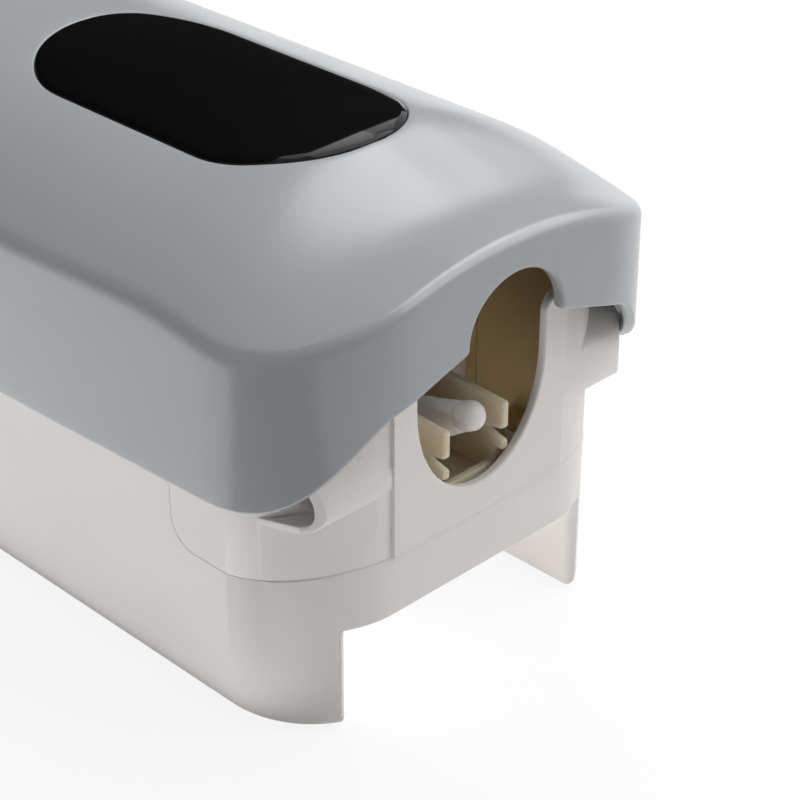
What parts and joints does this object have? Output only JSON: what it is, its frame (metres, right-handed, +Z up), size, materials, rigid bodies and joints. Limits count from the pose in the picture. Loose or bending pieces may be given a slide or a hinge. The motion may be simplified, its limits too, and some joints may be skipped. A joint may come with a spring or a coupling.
{
  "type": "soap dispenser",
  "caption": "Wall-mounted soap dispenser with a domed hinged cover that is pressed to work a pump, a dark level window and a nozzle in an arched opening underneath.",
  "frame": {"origin": "middle of the flat face that lies on the wall, halfway up the cover", "axes": "+Z up, +Y into the wall, +X to the right of a person who faces the dispenser"},
  "size_m": [0.116, 0.1117, 0.2356],
  "materials": {
    "cover_plastic": "glossy cool light grey",
    "dark_lens": "glossy near-black",
    "body_plastic": "satin warm white",
    "pump_plastic": "satin off-white",
    "clear_plastic": "translucent milky",
    "soft_rubber": "matt dark grey",
    "soft_tip": "matt off-white",
    "steel": "satin"
  },
  "bodies": {
    "body": {"rear_housing": "body_plastic", "chassis": "body_plastic", "chassis_screw_right": "steel", "chassis_screw_left": "steel", "pump_shelf": "body_plastic", "refill_bottle": "clear_plastic", "bottle_collar": "pump_plastic", "collar_gasket": "soft_rubber", "pump_body": "pump_plastic", "barrel_cap": "pump_plastic", "pump_spring": "steel", "inlet_ball": "steel", "outlet_nozzle": "pump_plastic", "nozzle_valve": "soft_tip", "pump_cradle": "body_plastic", "lock_catch": "steel", "catch_screw_right": "steel", "catch_screw_left": "steel"},
    "hinge_pins": {"hinge_pin_right": "steel", "hinge_pin_left": "steel"},
    "cover": {"front_cover": "cover_plastic", "window_lens": "dark_lens", "push_pad": "soft_rubber", "lock_nut": "steel"},
    "lock": {"lock_barrel": "steel", "lock_cam": "steel"},
    "piston": {"pump_piston": "pump_plastic", "piston_seal": "soft_rubber", "pump_button": "pump_plastic"}
  },
  "joints": [
    {"name": "press", "type": "hinge", "parent": "body", "child": "hinge_pins", "pos_m": [0, -0.067, 0.1122], "axis": [1, 0, 0], "range_deg": [0, 1.17], "stiffness_Nm_per_rad": 40, "springref_deg": -0.57},
    {"name": "cover_open", "type": "hinge", "parent": "hinge_pins", "child": "cover", "pos_m": [0, -0.06, -0.1022], "axis": [1, 0, 0], "range_deg": [0, 65]},
    {"name": "lock_turn", "type": "hinge", "parent": "cover", "child": "lock", "pos_m": [0, -0.067, 0.1175], "axis": [0, 0, -1], "range_deg": [0, 90]},
    {"name": "pump_stroke", "type": "slide", "parent": "body", "child": "piston", "axis": [0, 1, 0], "range_m": [0, 0.004], "deforming": ["pump_spring"]}
  ],
  "couplings": [
    {"joint": "pump_stroke", "follows": "press", "m_per_rad": 0.1947}
  ]
}
